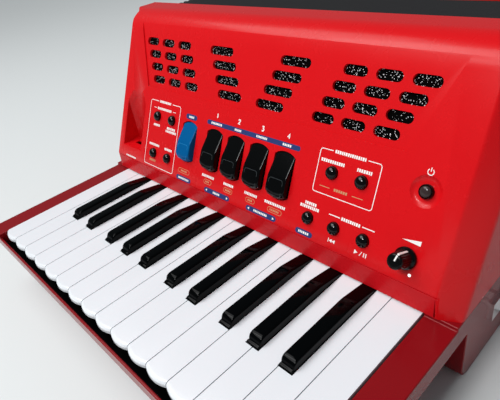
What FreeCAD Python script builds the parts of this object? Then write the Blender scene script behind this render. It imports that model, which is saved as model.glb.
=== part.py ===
"""Small digital piano accordion, lying on its back with the keys up, in millimetres.

X runs along the keyboard from low notes to high, Y from the key tips towards the bass end, Z up.
The origin is at the middle of the underside. The treble end carries 26 keys, the control panel and
a grille, the bellows slide the bass end away, and the bass end carries 72 buttons and a hand strap.
"""

import FreeCAD, Part
import math
import os

import Sketcher

V = FreeCAD.Vector
NO_TURN = FreeCAD.Rotation()

DIMENSIONS = {
    "half_len": 177.0, "front_y": -188.5, "bellows_y": 30.0, "bass_y": 90.0, "bass_end_y": 160.0,
    "body_top": 192.0, "wall": 3.0, "edge_bevel": 13.0, "corner": 8.0,
    "key_top": 56.0, "key_pitch": 19.6, "key_gap": 0.6, "key_thick": 4.0, "white_count": 16.0,
    "white_reach": 122.2, "tip_bulge": 2.3, "key_rear": 6.0, "key_clear": 0.5,
    "black_reach": 75.5, "black_width": 9.4, "black_height": 5.65, "black_bend": 20.5,
    "black_end": 1.9, "black_tail": 0.9, "pivot_back": 24.0, "pivot_drop": 8.0, "rod_radius": 1.5, "rod_clear": 0.05,
    "lip_y": -59.0, "lip_gap": 1.5, "lip_rise": 17.3, "panel_tilt": 64.4, "panel_length": 116.0,
    "shoulder": 24.0, "tray_floor": 41.0, "rail_drop": 5.0, "rail_wall": 2.0, "cheek_drop": 0.8,
    "small_rod": 1.0, "slot_width": 18.6, "slot_length": 33.5, "slot_middle": 33.25,
    "rocker_gap": 0.4, "rocker_rise": 4.6, "button_radius": 4.1, "button_clear": 0.25,
    "button_rise": 3.6, "knob_radius": 6.6, "knob_top": 4.6, "knob_height": 14.0,
    "grille_length": 17.0, "grille_long": 26.0, "grille_height": 6.3, "grille_row": 10.3,
    "grille_first": 76.8, "grille_step": 5.3, "board_foot": 92.0, "board_tilt": 110.5,
    "bass_radius": 4.0, "bass_pitch_x": 18.5, "bass_pitch_y": 11.5, "bass_lean": 1.8,
    "strap_width": 52.0, "strap_thick": 3.0,
}

# Where each control sits: along the keyboard from its middle, and up the slope of the panel.
REGISTERS_X = [-28.4, -4.2, 20.0, 44.2]
SET_X = -59.6
BUTTONS = {
    "left_button_1": (-105.6, 45.9), "left_button_2": (-84.5, 45.9),
    "left_button_3": (-105.6, 13.1), "left_button_4": (-84.5, 13.1),
    "right_button_1": (83.4, 45.9), "right_button_2": (104.8, 45.9),
    "program_button": (72.8, 13.1), "player_back_button": (93.4, 13.1),
    "player_play_button": (114.6, 13.1),
}
POWER = (143.2, 51.9)
POWER_RADIUS = 3.2
KNOB = (142.4, 13.6)
POCKET = {"x": -141.3, "half": 14.7, "side_y": -36.5, "back_y": -30.5, "floor": 82.3}

# Black keys: the white key on their left, and how far they sit from the gap between the two.
BLACK_KEYS = [(2, -2.5), (3, 2.3), (5, -4.6), (6, -0.6), (7, 4.4),
              (9, -2.5), (10, 2.3), (12, -4.6), (13, -0.6), (14, 4.4)]
SHALLOW_NOTCH = 0.4  # a notch no deeper than this beside a black key is left out
GRILLE_X = [20.7, 67.0, 89.5, 112.0]

doc = FreeCAD.newDocument("Accordion")
dims = doc.addObject("Spreadsheet::Sheet", "Dims")
kept = {}
arm_x = {}


def fill_sheet():
    for row, (name, number) in enumerate(DIMENSIONS.items(), start=1):
        dims.set(f"A{row}", name)
        dims.set(f"B{row}", str(number))
        dims.setAlias(f"B{row}", name)
    doc.recompute()


def val(name):
    return float(dims.get(name))


def number(expression):
    """The value of an expression over the sheet."""
    result = dims.evalExpression(str(expression))
    return float(getattr(result, "Value", result))


def keep(item, label):
    """Names a finished sub-part, so that it is written as a file."""
    item.Label = label
    kept[label] = item
    return item


# ---------------------------------------------------------------- sketches and bodies


def sketch(body, role, outline, lift="0"):
    """A closed sketch on one of the body's planes. A point is (x, y); an arc is (mid x, mid y, x, y)."""
    drawn = body.newObject("Sketcher::SketchObject", "Outline")
    plane = [f for f in body.Origin.OriginFeatures if f.Role == role][0]
    drawn.AttachmentSupport = [(plane, "")]
    drawn.MapMode = "FlatFace"
    drawn.setExpression(".AttachmentOffset.Base.z", str(lift))
    ends = [V(number(p[-2]), number(p[-1]), 0) for p in outline]
    first_end = []
    for i, item in enumerate(outline):
        start, end = ends[i - 1], ends[i]
        if len(item) == 4:
            middle = V(number(item[0]), number(item[1]), 0)
            edge = drawn.addGeometry(Part.Arc(start, middle, end))
            drawn.addConstraint(Sketcher.Constraint("Radius", edge, drawn.Geometry[edge].Radius))
        else:
            edge = drawn.addGeometry(Part.LineSegment(start, end))
        forward = (drawn.getPoint(edge, 1) - start).Length < 1e-6
        first_end.append((1, 2) if forward else (2, 1))
    for i, item in enumerate(outline):
        following = (i + 1) % len(outline)
        drawn.addConstraint(Sketcher.Constraint(
            "Coincident", i, first_end[i][1], following, first_end[following][0]))
        for kind, expression in (("DistanceX", item[-2]), ("DistanceY", item[-1])):
            at = drawn.addConstraint(Sketcher.Constraint(
                kind, -1, 1, i, first_end[i][1], number(expression)))
            drawn.setExpression(f"Constraints[{at}]", str(expression))
    return drawn


def pad(body, drawn, length, both_ways=False, down=False):
    feature = body.newObject("PartDesign::Pad", "Pad")
    feature.Profile = drawn
    feature.setExpression("Length", str(length))
    feature.Midplane = both_ways
    feature.Reversed = down
    return feature


def new_body(name, place=None):
    body = doc.addObject("PartDesign::Body", name)
    if place is not None:
        body.Placement = place
    return body


def turned(name, outline, place):
    """A solid turned about its own Z from a half outline of (radius, height) points."""
    body = new_body(name, place)
    drawn = sketch(body, "XZ_Plane", outline)
    feature = body.newObject("PartDesign::Revolution", "Turned")
    feature.Profile = drawn
    feature.ReferenceAxis = (drawn, ["V_Axis"])
    feature.Angle = 360
    return body


def box(name, size, corner, place=None):
    """A Part::Box whose sizes are expressions; its corner is given before it is placed."""
    made = doc.addObject("Part::Box", name)
    for side, expression in zip(("Length", "Width", "Height"), size):
        made.setExpression(side, str(expression))
    shift = FreeCAD.Placement(V(*(number(c) for c in corner)), NO_TURN)
    made.Placement = shift if place is None else place.multiply(shift)
    return made


def cylinder(name, radius, height, place):
    made = doc.addObject("Part::Cylinder", name)
    made.setExpression("Radius", str(radius))
    made.setExpression("Height", str(height))
    made.Placement = place
    return made


def cut(name, base, tool):
    made = doc.addObject("Part::Cut", name)
    made.Base = base
    made.Tool = tool
    return made


def fuse(name, items):
    made = doc.addObject("Part::MultiFuse", name)
    made.Shapes = items
    return made


def group(name, items):
    """Several separate solids as one node."""
    made = doc.addObject("Part::Compound", name)
    made.Links = items
    return made


def feature(name, shape):
    made = doc.addObject("Part::Feature", name)
    made.Shape = shape
    return made


def along_x(x, y, z):
    """A placement whose own Z runs along X."""
    return FreeCAD.Placement(V(x, y, z), FreeCAD.Rotation(V(0, 1, 0), 90))


def on_panel(x, up, out=0.0):
    """A placement on the panel: its own Y runs up the slope, and its own Z points out of it."""
    tilt = math.radians(val("panel_tilt"))
    along, rise = V(0, math.cos(tilt), math.sin(tilt)), V(0, -math.sin(tilt), math.cos(tilt))
    foot = V(x, val("lip_y"), val("key_top") + val("lip_rise"))
    turn = FreeCAD.Rotation(V(1, 0, 0), val("panel_tilt"))
    return FreeCAD.Placement(foot + along * up + rise * out, turn)


def obround(length, height, depth):
    """A round-ended bar, centred on its own origin, that stands depth above and below it."""
    half, radius = (length - height) / 2, height / 2
    wire = Part.Wire([
        Part.LineSegment(V(-half, -radius, -depth), V(half, -radius, -depth)).toShape(),
        Part.Arc(V(half, -radius, -depth), V(half + radius, 0, -depth), V(half, radius, -depth)).toShape(),
        Part.LineSegment(V(half, radius, -depth), V(-half, radius, -depth)).toShape(),
        Part.Arc(V(-half, radius, -depth), V(-half - radius, 0, -depth), V(-half, -radius, -depth)).toShape(),
    ])
    return Part.Face(wire).extrude(V(0, 0, 2 * depth))


def loaf_wire(width, length, height):
    """The outline of a register slot: straight sides and bowed ends, at one height."""
    x, y, bow = width / 2, length / 2, width * 0.16
    straight = y - bow
    return Part.Wire([
        Part.LineSegment(V(x, -straight, height), V(x, straight, height)).toShape(),
        Part.Arc(V(x, straight, height), V(0, y, height), V(-x, straight, height)).toShape(),
        Part.LineSegment(V(-x, straight, height), V(-x, -straight, height)).toShape(),
        Part.Arc(V(-x, -straight, height), V(0, -y, height), V(x, -straight, height)).toShape(),
    ])


def placed(shape, place):
    shape = shape.copy()
    shape.Placement = place.multiply(shape.Placement)
    return shape


# ---------------------------------------------------------------- keys


def white_key(index):
    """One white key: a plate with a bowed tip, notched beside its black neighbours, and a pivot lug."""
    offsets = {left: shift for left, shift in BLACK_KEYS}
    half = "(Dims.key_pitch - Dims.key_gap) / 2"
    left, right = f"-{half}", half
    room = "(Dims.black_width / 2 + Dims.key_clear)"
    if index - 1 in offsets:
        left = f"-Dims.key_pitch / 2 + ({offsets[index - 1]}) + {room}"
    if index in offsets:
        right = f"Dims.key_pitch / 2 + ({offsets[index]}) - {room}"
    notched_left = number(f"{left} + {half}") > SHALLOW_NOTCH
    notched_right = number(f"{half} - ({right})") > SHALLOW_NOTCH
    left = left if notched_left else f"-{half}"
    right = right if notched_right else half
    notch = "Dims.lip_y - Dims.white_reach"
    step = "Dims.lip_y - Dims.black_reach - Dims.key_clear"
    rear = "Dims.lip_y + Dims.key_rear"
    outline = [(left, rear)]
    if notched_left:
        outline += [(left, step), (f"-{half}", step)]
    outline += [(f"-{half}", notch), ("0", f"{notch} - Dims.tip_bulge", half, notch)]
    if notched_right:
        outline += [(half, step), (right, step)]
    outline += [(right, rear)]
    place = (index - (val("white_count") + 1) / 2) * val("key_pitch")
    body = new_body(f"WhiteKey{index}", FreeCAD.Placement(V(place, 0, 0), NO_TURN))
    plate = pad(body, sketch(body, "XY_Plane", outline, "Dims.key_top"), "Dims.key_thick", down=True)
    doc.recompute()
    soften_tip(body, plate)
    lug_pad(body, f"({left} + {right}) / 2", f"min({right} - ({left}); 8)")
    arm_x[index] = place + number(f"({left} + {right}) / 2")
    return keep(body, f"white_key_{index:02d}")


def soften_tip(body, plate):
    """Rolls the upper edge of the tip over, as a waterfall front."""
    notch = val("lip_y") - val("white_reach")
    top = [f"Edge{i}" for i, e in enumerate(plate.Shape.Edges, start=1)
           if e.BoundBox.ZMin > val("key_top") - 0.01 and e.BoundBox.YMax < notch + 0.5
           and e.BoundBox.XLength > 10]
    front = body.newObject("PartDesign::Fillet", "TipEdge")
    front.Base = (plate, top)
    front.Radius = 2.5
    doc.recompute()


def lug_pad(body, middle, width):
    """The arm behind the plate, with a hole for the common pivot rod."""
    under = "Dims.key_top - Dims.key_thick"
    pivot_y, pivot_z = "Dims.lip_y + Dims.pivot_back", "Dims.key_top - Dims.pivot_drop"
    outline = [
        ("Dims.lip_y - 10", under), ("Dims.lip_y + Dims.key_rear", under),
        ("Dims.lip_y + Dims.key_rear", "Dims.key_top - 0.5"),
        (f"{pivot_y} + 5", "Dims.key_top - 2.5"), (f"{pivot_y} + 5", f"{pivot_z} - 4"),
        (f"{pivot_y} - 6", f"{pivot_z} - 4"), ("Dims.lip_y - 4", f"{under} - 3"),
    ]
    pad(body, sketch(body, "YZ_Plane", outline, middle), width, both_ways=True)
    drawn = body.newObject("Sketcher::SketchObject", "RodHole")
    plane = [f for f in body.Origin.OriginFeatures if f.Role == "YZ_Plane"][0]
    drawn.AttachmentSupport = [(plane, "")]
    drawn.MapMode = "FlatFace"
    radius = val("rod_radius") + val("rod_clear")
    drawn.addGeometry(Part.Circle(V(number(pivot_y), number(pivot_z), 0), V(0, 0, 1), radius))
    for kind, arguments, expression in (
            ("DistanceX", (-1, 1, 0, 3), pivot_y), ("DistanceY", (-1, 1, 0, 3), pivot_z),
            ("Radius", (0,), "Dims.rod_radius + Dims.rod_clear")):
        at = drawn.addConstraint(Sketcher.Constraint(kind, *arguments, number(expression)))
        drawn.setExpression(f"Constraints[{at}]", expression)
    doc.recompute()
    bore = body.newObject("PartDesign::Pocket", "RodBore")
    bore.Profile = drawn
    bore.Type = "ThroughAll"
    bore.Midplane = True
    doc.recompute()


def black_key(number_in_row, left_white, shift):
    """One black key: a low bar with a foot and a rounded nose, which slopes down behind its bend."""
    tip = "Dims.lip_y - Dims.black_reach"
    top = "Dims.key_top + Dims.black_height"
    rear = "Dims.lip_y + Dims.key_rear"
    under = "Dims.key_top - Dims.key_thick"
    outline = [
        (rear, under), (tip, under), (tip, "Dims.key_top + 1.3"),
        (f"{tip} + 1.4", "Dims.key_top + 1.6"), (f"{tip} + 2.1", f"{top} - 3.25"),
        (f"{tip} + 3.6", f"{top} - 1.03", f"{tip} + 6.5", top),
        ("Dims.lip_y - Dims.black_bend - 2", top),
        ("Dims.lip_y - Dims.black_bend", f"{top} - 0.1", "Dims.lip_y - Dims.black_bend + 2", f"{top} - 0.38"),
        ("Dims.lip_y - 1.3", "Dims.key_top + Dims.black_end"),
        ("Dims.lip_y - 1.3", "Dims.key_top + Dims.black_tail"),
        (rear, "Dims.key_top + Dims.black_tail"),
    ]
    x = (left_white - val("white_count") / 2) * val("key_pitch") + shift
    body = new_body(f"BlackKey{number_in_row}", FreeCAD.Placement(V(x, 0, 0), NO_TURN))
    bar = pad(body, sketch(body, "YZ_Plane", outline), "Dims.black_width", both_ways=True)
    doc.recompute()
    nose, foot = number(tip) + 2, val("key_top") + 1.8
    edges = [f"Edge{i}" for i, e in enumerate(bar.Shape.Edges, start=1)
             if e.BoundBox.XLength < 0.01 and e.BoundBox.ZMin > foot
             and nose < e.BoundBox.YMin and e.BoundBox.YMax < val("lip_y")]
    rounded = body.newObject("PartDesign::Chamfer", "TopEdges")
    rounded.Base = (bar, edges)
    rounded.Size = 0.8
    doc.recompute()
    if "Invalid" in rounded.State or rounded.Shape.isNull():
        body.removeObject(rounded)
        doc.removeObject(rounded.Name)
        body.Tip = bar
    lug_pad(body, "0", "Dims.black_width - 1.2")
    arm_x[f"black {number_in_row}"] = x
    return keep(body, f"black_key_{number_in_row:02d}")


def key_parts():
    for index in range(1, int(val("white_count")) + 1):
        white_key(index)
    for i, (left_white, shift) in enumerate(BLACK_KEYS, start=1):
        black_key(i, left_white, shift)
    inside = val("half_len") - val("wall") - 3
    pivot = (val("lip_y") + val("pivot_back"), val("key_top") - val("pivot_drop"))
    rod = cylinder("Rod", "Dims.rod_radius", 2 * inside, along_x(-inside, *pivot))
    keep(rod, "key_pivot_rod")
    reach = val("half_len") - val("wall")
    frame = box("Frame", (2 * reach - 10, 10, 4), (-reach + 5, pivot[0] - 3, pivot[1] - 11))
    ears = []
    for side in (-1, 1):
        x = side * (reach - 4)
        ear = box("Ear", (8, 10, 18), (x - 4, pivot[0] - 5, pivot[1] - 11))
        hole = cylinder("EarHole", "Dims.rod_radius", 10, along_x(x - 5, *pivot))
        ears.append(cut("RodEar", ear, hole))
    keep(fuse("KeyFrame", [frame] + ears), "key_pivot_frame")
    bed, floor = "Dims.key_pitch * Dims.white_count", "Dims.tray_floor + Dims.wall"
    felts = [
        box("FrontFelt", (bed, 12, 2.8), (f"-{bed} / 2", "Dims.lip_y - Dims.white_reach + 3", floor)),
        box("RearFelt", (bed, 10, 2.8), (f"-{bed} / 2", "Dims.lip_y - 66", floor)),
    ]
    keep(group("Felts", felts), "key_stop_felts")


def key_springs():
    """A small coil between the frame and the tail of each key, which pulls the tail down."""
    wire, radius = 0.3, 1.8
    low = val("key_top") - val("pivot_drop") - 7
    coil = Part.makeHelix(0.8, 2.2, radius)
    profile = Part.Wire(Part.makeCircle(wire, V(radius, 0, 0), V(0, 1, 0)))
    spring = Part.Wire(coil.Edges).makePipeShell([profile], True, True)
    spring.translate(V(0, val("lip_y") + val("pivot_back") + 3, low + wire + 0.05))
    coils = []
    for x in arm_x.values():
        moved = spring.copy()
        moved.translate(V(x, 0, 0))
        coils.append(moved)
    keep(feature("Springs", Part.makeCompound(coils)), "key_springs")


# ---------------------------------------------------------------- treble case


def treble_outline(inset):
    """The cover's side outline, offset inwards: lip, panel slope, round shoulder, top and back."""
    tilt = math.radians(val("panel_tilt"))
    lip_y, foot_z = val("lip_y") + inset, val("key_top") + val("lip_rise")
    lower = val("key_top") + val("lip_gap") - (1 if inset else 0)
    slide = inset * (1 - math.sin(tilt)) / math.cos(tilt)
    foot = V(0, lip_y, foot_z - slide)
    radius = val("shoulder") - inset
    end = V(0, val("lip_y"), foot_z) + V(0, math.cos(tilt), math.sin(tilt)) * val("panel_length")
    normal = V(0, math.sin(tilt), -math.cos(tilt))
    centre = end + normal * val("shoulder")
    slope_end = centre - normal * radius
    middle = centre + V(0, -math.sin(tilt / 2), math.cos(tilt / 2)) * radius
    crown = centre + V(0, 0, 1) * radius
    back = val("bellows_y") - inset
    points = [V(0, lip_y, lower), foot, slope_end, middle, crown, V(0, back, crown.z), V(0, back, lower)]
    return points


def wire_from(points, arc_at):
    """Straight runs through the points, with one arc whose middle is points[arc_at]."""
    edges, i = [], 0
    closed = points + points[:1]
    while i < len(closed) - 1:
        if i + 1 == arc_at:
            edges.append(Part.Arc(closed[i], closed[i + 1], closed[i + 2]).toShape())
            i += 2
        else:
            edges.append(Part.LineSegment(closed[i], closed[i + 1]).toShape())
            i += 1
    return Part.Wire(edges)


def end_wedges(reach, bevel, place):
    """Two long wedges that slope the ends of a case inwards towards its face."""
    tools = []
    for side in (-1, 1):
        x = side * reach
        wire = Part.makePolygon([V(x - side * bevel, 0, 0.01), V(x + side * 2, 0, 0.01),
                                 V(x + side * 2, 0, -bevel * 1.25), V(x, 0, -bevel * 1.1),
                                 V(x - side * bevel, 0, 0.01)])
        tool = Part.Face(wire).extrude(V(0, 260, 0))
        tool.translate(V(0, -60, 0))
        tools.append(placed(tool, place))
    return tools


def case_shell(outline, arc_at, half, wall, trims, inner_trims):
    """A hollow case: the outline at full width, less the inset outline between its end walls."""
    outer = Part.Face(wire_from(outline(0.0), arc_at)).extrude(V(2 * half, 0, 0))
    outer.translate(V(-half, 0, 0))
    inner = Part.Face(wire_from(outline(wall), arc_at)).extrude(V(2 * (half - wall), 0, 0))
    inner.translate(V(-half + wall, 0, 0))
    for tool in trims:
        outer = outer.cut(tool)
    for tool in inner_trims:
        inner = inner.cut(tool)
    return outer.cut(inner).removeSplitter()


def grille_tools(place_at, rows, first):
    """The slots of a grille: four columns each side, stepping outwards from row to row."""
    tools = []
    for row in range(rows):
        up = first + row * val("grille_row")
        for column, x in enumerate(GRILLE_X):
            long = val("grille_long") if column == 0 else val("grille_length")
            for side in (-1, 1):
                where = side * (x + row * val("grille_step"))
                tools.append(placed(obround(long, val("grille_height"), 4.5), place_at(where, up)))
    return tools


def field_recess(bottom, top, low_half, high_half, depth):
    """The shallow field that the grille slots lie in, wider towards the top."""
    wire = Part.makePolygon([V(-low_half, bottom, -depth), V(low_half, bottom, -depth),
                             V(high_half, top, -depth), V(-high_half, top, -depth),
                             V(-low_half, bottom, -depth)])
    block = Part.Face(wire).extrude(V(0, 0, 6))
    lower_corners = [e for e in block.Edges if e.BoundBox.ZLength > 5][:2]
    return placed(block.makeFillet(7, lower_corners), on_panel(0, 0))


def pocket_shape(grow):
    """The upright, round-backed hollow at the low end of the panel, with a level floor."""
    x, half = POCKET["x"], POCKET["half"] + grow
    side, back, low = POCKET["side_y"], POCKET["back_y"] + grow, POCKET["floor"] - grow
    plan = Part.Wire([
        Part.LineSegment(V(x - half, side, low), V(x - half, -70, low)).toShape(),
        Part.LineSegment(V(x - half, -70, low), V(x + half, -70, low)).toShape(),
        Part.LineSegment(V(x + half, -70, low), V(x + half, side, low)).toShape(),
        Part.Arc(V(x + half, side, low), V(x, back, low), V(x - half, side, low)).toShape()])
    return Part.Face(plan).extrude(V(0, 0, 62))


def treble_cover():
    half, wall, bevel = val("half_len"), val("wall"), val("edge_bevel")
    trims = end_wedges(half, bevel, on_panel(0, 0))
    inner = end_wedges(half - wall, bevel, on_panel(0, 0, -wall))
    shell = case_shell(treble_outline, 3, half, wall, trims, inner)
    tools = grille_tools(on_panel, 4, val("grille_first"))
    tools.append(field_recess(69.4, 170, 126.5, 166, 0.9))
    for x in REGISTERS_X + [SET_X]:
        slot = Part.Face(loaf_wire(val("slot_width"), val("slot_length"), -6)).extrude(V(0, 0, 12))
        tools.append(placed(slot, on_panel(x, val("slot_middle"))))
    for x, up in BUTTONS.values():
        hole = Part.makeCylinder(val("button_radius") + val("button_clear"), 12, V(0, 0, -6))
        tools.append(placed(hole, on_panel(x, up)))
    hole = Part.makeCylinder(POWER_RADIUS + val("button_clear"), 12, V(0, 0, -6))
    tools.append(placed(hole, on_panel(*POWER)))
    tools.append(placed(Part.makeCylinder(3.2, 12, V(0, 0, -6)), on_panel(*KNOB)))
    dish = Part.makeCone(7.5, 9.0, 1.2, V(0, 0, -1.1))
    tools.append(placed(dish, on_panel(*POWER)))
    tools.append(pocket_shape(0.0))
    for tool in tools:
        shell = shell.cut(tool)
    keep(feature("TrebleCover", shell), "treble_cover")
    behind = placed(Part.makeBox(60, 120, 60, V(-30, -10, -60 - wall - 0.05)), on_panel(POCKET["x"], 0))
    cup = pocket_shape(1.4).common(behind).cut(pocket_shape(0.0))
    port = Part.makeBox(12.2, 4.6, 6, V(POCKET["x"] - 6.1, -47, POCKET["floor"] - 4))
    keep(feature("PocketCup", cup.cut(port)), "memory_pocket")


def treble_base():
    """The lower case: a box under the panel, and the tray that holds the keyboard out in front."""
    half, wall, deck = val("half_len"), val("wall"), val("key_top") + val("lip_gap")
    front, back, floor = val("front_y"), val("bellows_y"), val("tray_floor")
    waist = val("lip_y") + 14
    body = Part.makeBox(2 * half, back - waist, deck, V(-half, waist, 0))
    inner = Part.makeBox(2 * (half - wall), back - waist - 2 * wall, deck,
                         V(-half + wall, waist + wall, wall))
    toe = [e for e in body.Edges
           if e.BoundBox.ZMax < 1 and e.BoundBox.YMin < waist + 1 and e.BoundBox.YLength < 1]
    body = body.makeFillet(val("corner"), toe)
    cheek = val("half_len") - (val("key_pitch") * val("white_count") / 2 + 0.6)
    tray = Part.makeBox(2 * half, waist + wall - front, deck - floor, V(-half, front, floor))
    well = Part.makeBox(2 * (half - cheek), waist + 2 * wall - front, deck,
                        V(-half + cheek, front + val("rail_wall"), floor + wall))
    level = Part.makeBox(2 * half + 2, val("lip_y") - front + 0.6, 20,
                         V(-half - 1, front - 1, val("key_top") - val("cheek_drop")))
    rail = Part.makeBox(2 * (half - cheek), 6, 20,
                        V(-half + cheek, front - 1, val("key_top") - val("rail_drop")))
    tray = tray.cut(level).cut(rail)
    ends = [e for e in tray.Edges if e.BoundBox.YMax < front + 0.1 and e.BoundBox.ZLength > 5
            and abs(abs(e.BoundBox.Center.x) - half) < 0.1]
    tray = tray.makeFillet(6, ends)
    whole = body.fuse(tray).cut(inner).cut(well)
    keep(feature("TrebleBase", whole.removeSplitter()), "treble_base")


def treble_inside():
    cloth = box("Cloth", (302, 46, 0.5), (-151, 72, -3.6), on_panel(0, 0))
    keep(cloth, "treble_grille_cloth")
    board = box("Board", (262, 58, 1.6), (-120, 2, -13.0), on_panel(0, 0))
    rod_up = val("slot_middle") + val("slot_length") / 2 - val("rocker_gap") + 6
    posts = []
    for x in (-72, -44, 56):
        post = box("Post", (3, 4, 8), (x - 1.5, rod_up - 2, -11.4), on_panel(0, 0))
        where = on_panel(0, 0).multiply(along_x(x - 2.5, rod_up, -5.3))
        hole = cylinder("PostHole", "Dims.small_rod", 5, where)
        posts.append(cut("RodPost", post, hole))
    keep(fuse("ControlBoard", [board] + posts), "control_board")
    cones = []
    for side in (-1, 1):
        cone = Part.makeCone(9, 20, 9, V(0, 0, -9))
        magnet = Part.makeCylinder(12, 9, V(0, 0, -18))
        basket = Part.makeCylinder(21.5, 1.2, V(0, 0, -1.2))
        cones.append(placed(cone.fuse([magnet, basket]), on_panel(side * 92, 94, -3.8)))
    keep(feature("Speakers", Part.makeCompound(cones)), "speakers")


# ---------------------------------------------------------------- controls


def register_key(label, x):
    """A rocking register key: it climbs out of its slot towards the player and drops at its tip."""
    gap, rise = val("rocker_gap"), val("rocker_rise")
    width, length = val("slot_width") - 2 * gap, val("slot_length") - 2 * gap
    lower = Part.Face(loaf_wire(width, length, -7)).extrude(V(0, 0, 7.2))
    crown = loaf_wire(width - 4.6, length - 3.0, rise + 1.2)
    upper = Part.makeLoft([loaf_wire(width, length, 0.2), crown], True)
    loaf = lower.fuse(upper)
    top, tip = length / 2, -length / 2
    side = Part.makePolygon([V(-12, top + 1, -8), V(-12, top + 1, -1.6), V(-12, top - 1.5, -0.9),
                             V(-12, -1.5, rise), V(-12, tip + 4.2, rise + 0.5), V(-12, tip + 1.6, rise - 1.4),
                             V(-12, tip - 1, -1.0), V(-12, tip - 1, -8), V(-12, top + 1, -8)])
    shape = loaf.common(Part.Face(side).extrude(V(24, 0, 0)))
    arm = Part.makeBox(8, 7, 3.2, V(-4, top - 1, -7))
    barrel = Part.makeCylinder(2.1, 8, V(-4, top + 6, -5.3), V(1, 0, 0))
    hole = Part.makeCylinder(val("small_rod") + val("rod_clear"), 10, V(-5, top + 6, -5.3), V(1, 0, 0))
    shape = shape.fuse([arm, barrel]).cut(hole).removeSplitter()
    return keep(feature("Register", placed(shape, on_panel(x, val("slot_middle")))), label)


def registers():
    register_key("set_register_key", SET_X)
    for i, x in enumerate(REGISTERS_X, start=1):
        register_key(f"register_key_{i}", x)
    first, last = SET_X - 14, REGISTERS_X[-1] + 14
    up = val("slot_middle") + val("slot_length") / 2 - val("rocker_gap") + 6
    rod = Part.makeCylinder(val("small_rod"), last - first, V(first, up, -5.3), V(1, 0, 0))
    keep(feature("RegisterRod", placed(rod, on_panel(0, 0))), "register_pivot_rod")


def push_button(label, where, radius, rise):
    """A domed cap with a collar that stops it under the panel."""
    shaft = f"Dims.button_radius + ({radius - val('button_radius')})"
    side = rise - 1.7
    centre = (rise ** 2 - side ** 2 - radius ** 2) / (2 * (rise - side))

    def on_dome(x):
        return centre + math.sqrt((rise - centre) ** 2 - x ** 2)

    under = -val("wall") - 0.1
    outline = [("0", -6.0), (radius + 1.2, -6.0), (radius + 1.2, under), (shaft, under), (shaft, side)]
    outline += [(radius * share, on_dome(radius * share)) for share in (0.92, 0.78, 0.55, 0.28)]
    outline.append(("0", on_dome(radius * 0.28)))
    return keep(turned(label, outline, on_panel(*where)), label)


def controls():
    for label, where in BUTTONS.items():
        push_button(label, where, val("button_radius"), val("button_rise"))
    push_button("power_button", POWER, POWER_RADIUS, 2.1)
    base, top, high = val("knob_radius"), val("knob_top"), val("knob_height")
    outline = [("0", -8.0), (2.9, -8.0), (2.9, 0.5), ("Dims.knob_radius", 0.5), ("Dims.knob_radius", 2.2),
               (base - 0.5, 2.9), (top + 0.6, 3.4), ("Dims.knob_top", high - 1.2),
               (top - 0.4, high - 0.35, top - 1.4, "Dims.knob_height"), ("0", "Dims.knob_height")]
    keep(turned("Knob", outline, on_panel(*KNOB)), "volume_knob")


# ---------------------------------------------------------------- bellows and bass end


def bass_outline(inset):
    """The bass case's side outline: end wall, sloping button board, round shoulder, top and back."""
    tilt = math.radians(val("board_tilt"))
    rise = V(0, math.cos(tilt), math.sin(tilt))
    normal = V(0, math.sin(tilt), -math.cos(tilt))
    end, back, top = val("bass_end_y"), val("bass_y") + inset, val("body_top") - inset
    radius = val("shoulder") - inset
    climb = (val("body_top") - val("shoulder") - val("board_foot") - normal.z * -val("shoulder")) / rise.z
    centre = V(0, end, val("board_foot")) + rise * climb - normal * val("shoulder")
    between = (normal + V(0, 0, 1)).normalize()
    knee = val("board_foot") - inset * (1 - normal.y) / normal.z
    return [V(0, back, inset), V(0, end - inset, inset), V(0, end - inset, knee), centre + normal * radius,
            centre + between * radius, centre + V(0, 0, radius), V(0, back, top)]


def board_place(x, up, out=0.0):
    """A placement on the button board: its own Y runs up the slope, and its own Z points out of it."""
    tilt = math.radians(val("board_tilt"))
    rise, normal = V(0, math.cos(tilt), math.sin(tilt)), V(0, math.sin(tilt), -math.cos(tilt))
    foot = V(x, val("bass_end_y"), val("board_foot"))
    turn = FreeCAD.Rotation(V(-1, 0, 0), rise, normal)
    return FreeCAD.Placement(foot + rise * up + normal * out, turn)


def bass_button_spots():
    """Twelve slanting columns of six, as (x, up the board)."""
    return [((column - 5.5) * val("bass_pitch_x") + (row - 2.5) * val("bass_lean"),
             9 + row * val("bass_pitch_y")) for column in range(12) for row in range(6)]


def bass_end():
    half, wall = val("half_len"), val("wall")
    shell = case_shell(bass_outline, 4, half, wall, [], [])
    corner = [e for e in shell.Edges
              if abs(abs(e.BoundBox.Center.x) - half) < 0.01 and e.BoundBox.XLength < 0.01
              and e.BoundBox.YMax > val("bass_end_y") - 0.1 and e.BoundBox.ZLength > 50
              and e.BoundBox.YLength < 0.1]
    shell = shell.makeFillet(val("corner"), corner)
    clear = val("bass_radius") + 0.4
    for x, up in bass_button_spots():
        shell = shell.cut(placed(Part.makeCylinder(clear, 12, V(0, 0, -8)), board_place(x, up)))
    keep(feature("BassCase", shell), "bass_case")
    caps = []
    for x, up in bass_button_spots():
        cap = Part.makeCylinder(val("bass_radius"), 11, V(0, 0, -6))
        rim = [e for e in cap.Edges if e.BoundBox.ZMin > 4.9 and e.BoundBox.ZLength < 0.1]
        cap = cap.makeFillet(0.9, rim)
        flange = Part.makeCylinder(val("bass_radius") + 0.8, 1.0, V(0, 0, -6))
        caps.append(placed(cap.fuse(flange), board_place(x, up)))
    keep(feature("BassButtons", Part.makeCompound(caps)), "bass_buttons")


def bellows():
    half, front, back, top = val("half_len") - 6, val("bellows_y"), val("bass_y"), val("body_top") - 5
    outer = Part.makeBox(2 * half, back - front - 0.4, top - 5, V(-half, front + 0.2, 5))
    inner = Part.makeBox(2 * half - 36, back - front, top - 41, V(-half + 18, front, 23))
    keep(feature("Bellows", outer.cut(inner)), "bellows")


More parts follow.
